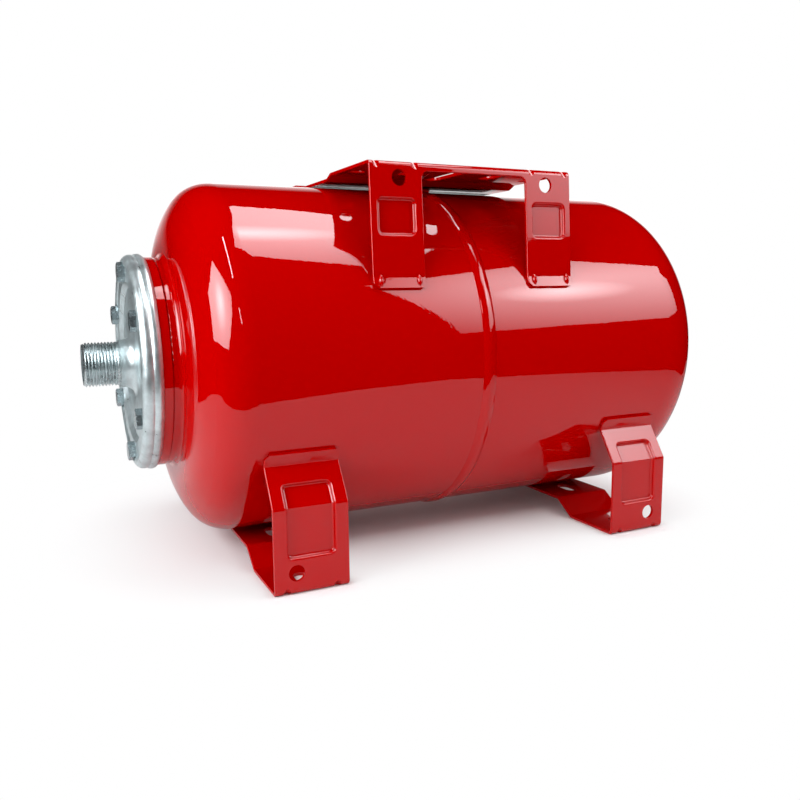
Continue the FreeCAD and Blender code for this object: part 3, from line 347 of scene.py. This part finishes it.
# Each side of the floor turns white for the camera between two places. Beside the object's edges it
# stays dark up to "contactReach". In the gloss its colour is scaled by the "mirrored" shares, from left
# to right: painted shade that darkens its reflection towards +X.
# "edge" is the outline of its lit part, seen from above.
floorLook = {
    "colour": 0.90, "roughness": 0.7, "left": (-0.14, -0.3133), "right": (0.16, 0.29),
    "near": (-0.04, -0.17), "far": (0.10, 0.2625), "contactReach": 0.015, "contactPower": 7.0,
    "dimming": (0.25, 0.80), "mirrored": (0.72, 0.28),
    "edge": [
        (-0.83, -0.05), (-0.72, -0.18), (-0.55, -0.25), (-0.35, -0.34), (-0.10, -0.41), (0.05, -0.50),
        (0.22, -0.57), (0.38, -0.53), (0.53, -0.45), (0.63, -0.37), (0.69, -0.25), (0.75, -0.10),
        (0.87, 0.04), (1.05, 0.15), (1.25, 0.32), (1.40, 2.20), (-0.30, 2.20), (-0.32, 0.95),
        (-0.42, 0.75), (-0.55, 0.60), (-0.62, 0.45), (-0.67, 0.30), (-0.74, 0.18), (-0.81, 0.08),
    ],
}


# White floor. The camera sees it turn into plain white away from the tank; in the gloss it carries painted
# shade, darker towards +X.
def makeFloor():
    look = floorLook
    material, shader = newMaterial("floorPaint", [look["colour"]] * 3, look["roughness"])
    shader.inputs["Specular IOR Level"].default_value = 0.0
    white = addNode(material, "ShaderNodeEmission")
    mix = addNode(material, "ShaderNodeMixShader")
    place = addNode(material, "ShaderNodeTexCoord")
    split = addNode(material, "ShaderNodeSeparateXYZ")
    seen = addNode(material, "ShaderNodeLightPath")
    link(material, place, "Object", split, "Vector")
    squares = []
    for axis, low, high in (("X", "left", "right"), ("Y", "near", "far")):
        ends = [ramp(material, (split, axis), *look[side]) for side in (low, high)]
        beside = mathNode(material, "MAXIMUM", *ends)
        squares.append(mathNode(material, "MULTIPLY", beside, beside))
    away = mathNode(material, "SQRT", mathNode(material, "ADD", *squares))
    contact = addNode(material, "ShaderNodeAmbientOcclusion", Distance=look["contactReach"])
    clear = mathNode(material, "POWER", (contact, "AO"), look["contactPower"])
    lift = mathNode(material, "MULTIPLY", mathNode(material, "MINIMUM", away, 1.0), clear)
    link(material, *mathNode(material, "MULTIPLY", lift, (seen, "Is Camera Ray")), mix, "Fac")
    # Painted shade: for glossy rays the floor's colour falls by the "mirrored" shares from left to right, so
    # its reflection darkens towards +X.
    reflectedShade = ramp(material, (split, "X"), *look["dimming"], *look["mirrored"])
    drop = mathNode(material, "MULTIPLY", mathNode(material, "SUBTRACT", 1.0, reflectedShade), (seen, "Is Glossy Ray"))
    level = mathNode(material, "MULTIPLY", mathNode(material, "SUBTRACT", 1.0, drop), look["colour"])
    link(material, *level, shader, "Base Color")
    link(material, shader, "BSDF", mix, 1)
    link(material, white, "Emission", mix, 2)
    link(material, mix, "Shader", material.node_tree.nodes["Material Output"], "Surface")
    stagePiece("floor", [(x, y, 0) for x, y in look["edge"]], material)


# The wall's place along Y, ends, height, and patches: (x, height, radius across, radius up, radiance).
wallLook = {
    "y": 2.3, "ends": (-1.2, 4.6), "height": 2.4,
    "patches": [(2.0, 0.75, 2.7, 1.15, 2.1), (0.45, 0.52, 1.25, 0.50, 1.2)],
}


# Soft wall behind: its patches show in the gloss, and it is plain white for everything else.
def makeWall():
    y, (left, right), top = wallLook["y"], wallLook["ends"], wallLook["height"]
    material, emission = glow("wallGlow", (1, 1, 1))
    place = addNode(material, "ShaderNodeTexCoord")
    seen = addNode(material, "ShaderNodeLightPath")
    total = 0.0
    for x, z, wide, tall, level in wallLook["patches"]:
        total = mathNode(material, "ADD", addPatch(material, place, (x, y, z), (wide, 1, tall), level), total)
    mirrored = mathNode(material, "MULTIPLY", total, (seen, "Is Glossy Ray"))
    plain = mathNode(material, "SUBTRACT", 1.0, (seen, "Is Glossy Ray"))
    link(material, *mathNode(material, "ADD", mirrored, plain), emission, "Strength")
    stagePiece("wall", [(left, y, 0), (right, y, 0), (right, y, top), (left, y, top)], material)


# Light panels. A flat one lies at its height. An upright one faces the tank from its bearing (degrees
# from +Y towards +X) and distance; its corners and patches give the way across and the height.
# "edge" is the radiance at the rim; each patch adds (across, up, radius across, radius up, radiance).
# "share" of that lights the matt surfaces, so that a colour renders about as written.
panels = {
    "overheadPanel": {
        "height": 1.5, "edge": 3.2, "share": 0.55, "corners": [
            (0.17, 0.58), (0.30, 0.50), (0.41, 0.38), (0.72, 0.12), (0.60, -0.79), (0.19, -0.54),
            (0.165, -0.43), (-0.165, -0.40),
        ],
        "patches": [(0.28, -0.08, 0.95, 0.95, 5.8), (0.16, -0.10, 0.26, 0.16, 7.5)],
    },
    "rightPanel": {
        "bearing": 130, "distance": 1.1, "edge": 0.8, "share": 0.45,
        "corners": [
            (-0.39, 0.39), (-0.37, 0.73), (-0.295, 0.79), (-0.215, 1.35), (0.48, 1.32), (0.48, 0.41),
        ],
        "patches": [(0.0, 0.95, 0.80, 0.75, 8.2), (0.115, 0.83, 0.17, 0.16, 9.0)],
    },
    "leftPanel": {
        "bearing": -105, "distance": 1.1, "edge": 4.0, "share": 0.55,
        "corners": [
            (-0.36, 0.28), (-0.50, 0.45), (-0.65, 0.80), (-0.64, 1.08), (0.29, 1.07), (0.39, 0.60),
            (0.32, 0.27),
        ],
        "patches": [(-0.08, 0.72, 0.85, 0.75, 9.5), (-0.09, 0.65, 0.24, 0.28, 8.5)],
    },
    "overheadStrip": {
        "height": 1.5, "edge": 26.0, "share": 0.4,
        "corners": [(-0.538, -0.115), (-0.583, -0.12), (-0.745, -0.95), (-0.692, -0.95)],
        "patches": [],
    },
    "secondStrip": {
        "height": 1.5, "edge": 15.0, "share": 0.5,
        "corners": [(-0.86, -1.88), (-0.92, -1.88), (-1.03, -2.75), (-0.95, -2.75)],
        "patches": [],
    },
}


def makePanel(name, look):
    if "height" in look:
        def spot(across, up):
            return across, up, look["height"]
    else:
        turn, reach = math.radians(look["bearing"]), look["distance"]

        def spot(across, up):
            return (
                math.sin(turn) * reach + math.cos(turn) * across,
                math.cos(turn) * reach - math.sin(turn) * across, up,
            )

    material, emission = glow(name, studio["tint"])
    place = addNode(material, "ShaderNodeTexCoord")
    total = look["edge"]
    for across, up, wide, tall, more in look["patches"]:
        radii = (wide, tall, 1) if "height" in look else (wide, wide, tall)
        total = mathNode(material, "ADD", addPatch(material, place, spot(across, up), radii, more), total)
    seen = addNode(material, "ShaderNodeLightPath")
    share = ramp(material, (seen, "Is Glossy Ray"), 0, 1, look["share"], 1)
    strength = mathNode(material, "MULTIPLY", share, total)
    link(material, *mathNode(material, "MAXIMUM", strength, (seen, "Is Camera Ray")), emission, "Strength")
    stagePiece(name, [spot(*corner) for corner in look["corners"]], material)


makeFloor()
makeWall()
for name, look in panels.items():
    makePanel(name, look)


# White for the camera, black in reflections, pale for everything else.
def makeWorld():
    world = bpy.data.worlds.new("studio")
    bpy.context.scene.world = world
    world.use_nodes = True
    world.node_tree.nodes.clear()
    seen = addNode(world, "ShaderNodeLightPath")
    matt = mathNode(world, "SUBTRACT", 1.0, (seen, "Is Glossy Ray"))
    level = mathNode(world, "MULTIPLY", matt, studio["ambient"])
    background = addNode(world, "ShaderNodeBackground", Color=(1, 1, 1, 1))
    output = addNode(world, "ShaderNodeOutputWorld")
    link(world, *mathNode(world, "MAXIMUM", level, (seen, "Is Camera Ray")), background, "Strength")
    link(world, background, "Background", output, "Surface")


makeWorld()
print("studio built")


# Camera, solved from the photo

shot = {
    "spot": (-0.3087, -0.6233, 0.2095), "yaw": 25.605, "pitch": -8.652, "roll": -0.533, "lens": 35.075,
    "sensor": 36, "nearest": 0.01,
}


def placeCamera():
    yaw, pitch, roll = [math.radians(shot[k]) for k in ("yaw", "pitch", "roll")]
    ahead = Vector((math.sin(yaw) * math.cos(pitch), math.cos(yaw) * math.cos(pitch), math.sin(pitch)))
    level = Vector((math.cos(yaw), -math.sin(yaw), 0))
    upward = level.cross(ahead)
    right = level * math.cos(roll) + upward * math.sin(roll)
    up = upward * math.cos(roll) - level * math.sin(roll)
    camera = bpy.data.cameras.new("camera")
    camera.lens = shot["lens"]
    camera.sensor_width = shot["sensor"]
    camera.clip_start = shot["nearest"]
    thing = bpy.data.objects.new("camera", camera)
    turn = Matrix((right, up, -ahead)).transposed().to_4x4()
    thing.matrix_world = Matrix.Translation(shot["spot"]) @ turn
    bpy.context.scene.collection.objects.link(thing)
    bpy.context.scene.camera = thing


placeCamera()
bpy.context.scene.view_settings.view_transform = "Standard"
print("camera placed")
